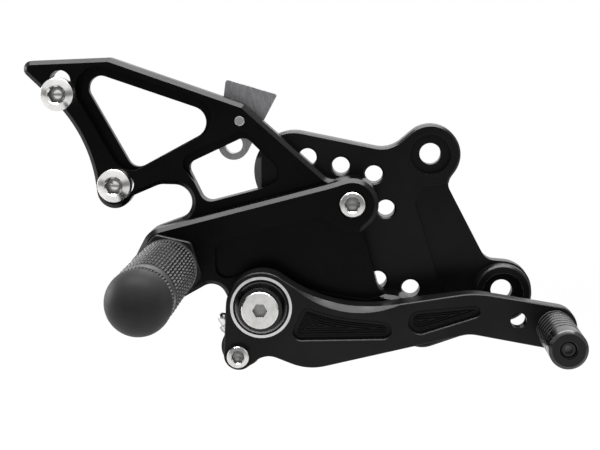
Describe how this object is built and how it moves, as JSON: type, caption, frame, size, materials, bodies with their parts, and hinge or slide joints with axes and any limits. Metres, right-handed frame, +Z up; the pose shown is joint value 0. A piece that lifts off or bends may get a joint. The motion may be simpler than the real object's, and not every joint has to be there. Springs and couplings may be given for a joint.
{
  "type": "motorcycle rear set footrest",
  "caption": "Right-hand motorcycle rear set: frame plate, windowed hanger plate with knurled foot peg, and a sprung brake lever on sealed bearings with a toe peg.",
  "frame": {"origin": "centre of the upper frame bolt's hole on the frame plate's back face", "axes": "+X to the front of the motorcycle, +Z up, -Y outward along the foot peg"},
  "size_m": [0.2172, 0.1206, 0.1228],
  "materials": {
    "black_anodised": "black anodised, machined",
    "knurled_black": "black anodised, knurled or grooved",
    "plain_aluminium": "clear anodised",
    "bright_steel": "bright plated",
    "race_steel": "ground",
    "dark_steel": "black oxide",
    "seal_rubber": "matte",
    "cap_plastic": "matte dark grey"
  },
  "bodies": {
    "root": {"frame_plate": "black_anodised", "hanger_plate": "black_anodised", "hose_tab": "plain_aluminium", "stop_pin": "bright_steel", "pivot_sleeve": "bright_steel", "inner_race_rear": "race_steel", "inner_race_front": "race_steel", "pivot_washer": "black_anodised", "pivot_bolt": "bright_steel", "foot_peg": "knurled_black", "peg_end_cap": "cap_plastic", "foot_peg_bolt": "bright_steel", "upper_hanger_bolt": "bright_steel", "lower_hanger_bolt": "bright_steel", "upper_hanger_nut": "bright_steel", "lower_hanger_nut": "bright_steel", "upper_rear_screw": "bright_steel", "lower_rear_screw": "bright_steel", "tab_screw": "bright_steel"},
    "brake_lever": {"brake_lever": "black_anodised", "outer_race_rear": "race_steel", "outer_race_front": "race_steel", "bearing_seal_rear": "seal_rubber", "bearing_seal_front": "seal_rubber", "toe_peg": "knurled_black", "toe_peg_screw": "dark_steel", "arm_screw": "bright_steel", "arm_nut": "bright_steel", "arm_spacer": "bright_steel", "rod_ball": "bright_steel"},
    "push_rod": {"push_rod_eye": "dark_steel", "push_rod_nut": "bright_steel", "push_rod_stud": "bright_steel"}
  },
  "joints": [
    {"name": "lever_pivot", "type": "hinge", "parent": "root", "child": "brake_lever", "pos_m": [-0.066, -0.034, -0.057], "axis": [0, 1, 0], "range_deg": [0, 10], "stiffness_Nm_per_rad": 0.5, "springref_deg": -22.92},
    {"name": "push_rod_swivel", "type": "hinge", "parent": "brake_lever", "child": "push_rod", "pos_m": [-0.0748, -0.02, -0.076], "axis": [0, 1, 0], "range_deg": [-24, 4]}
  ]
}
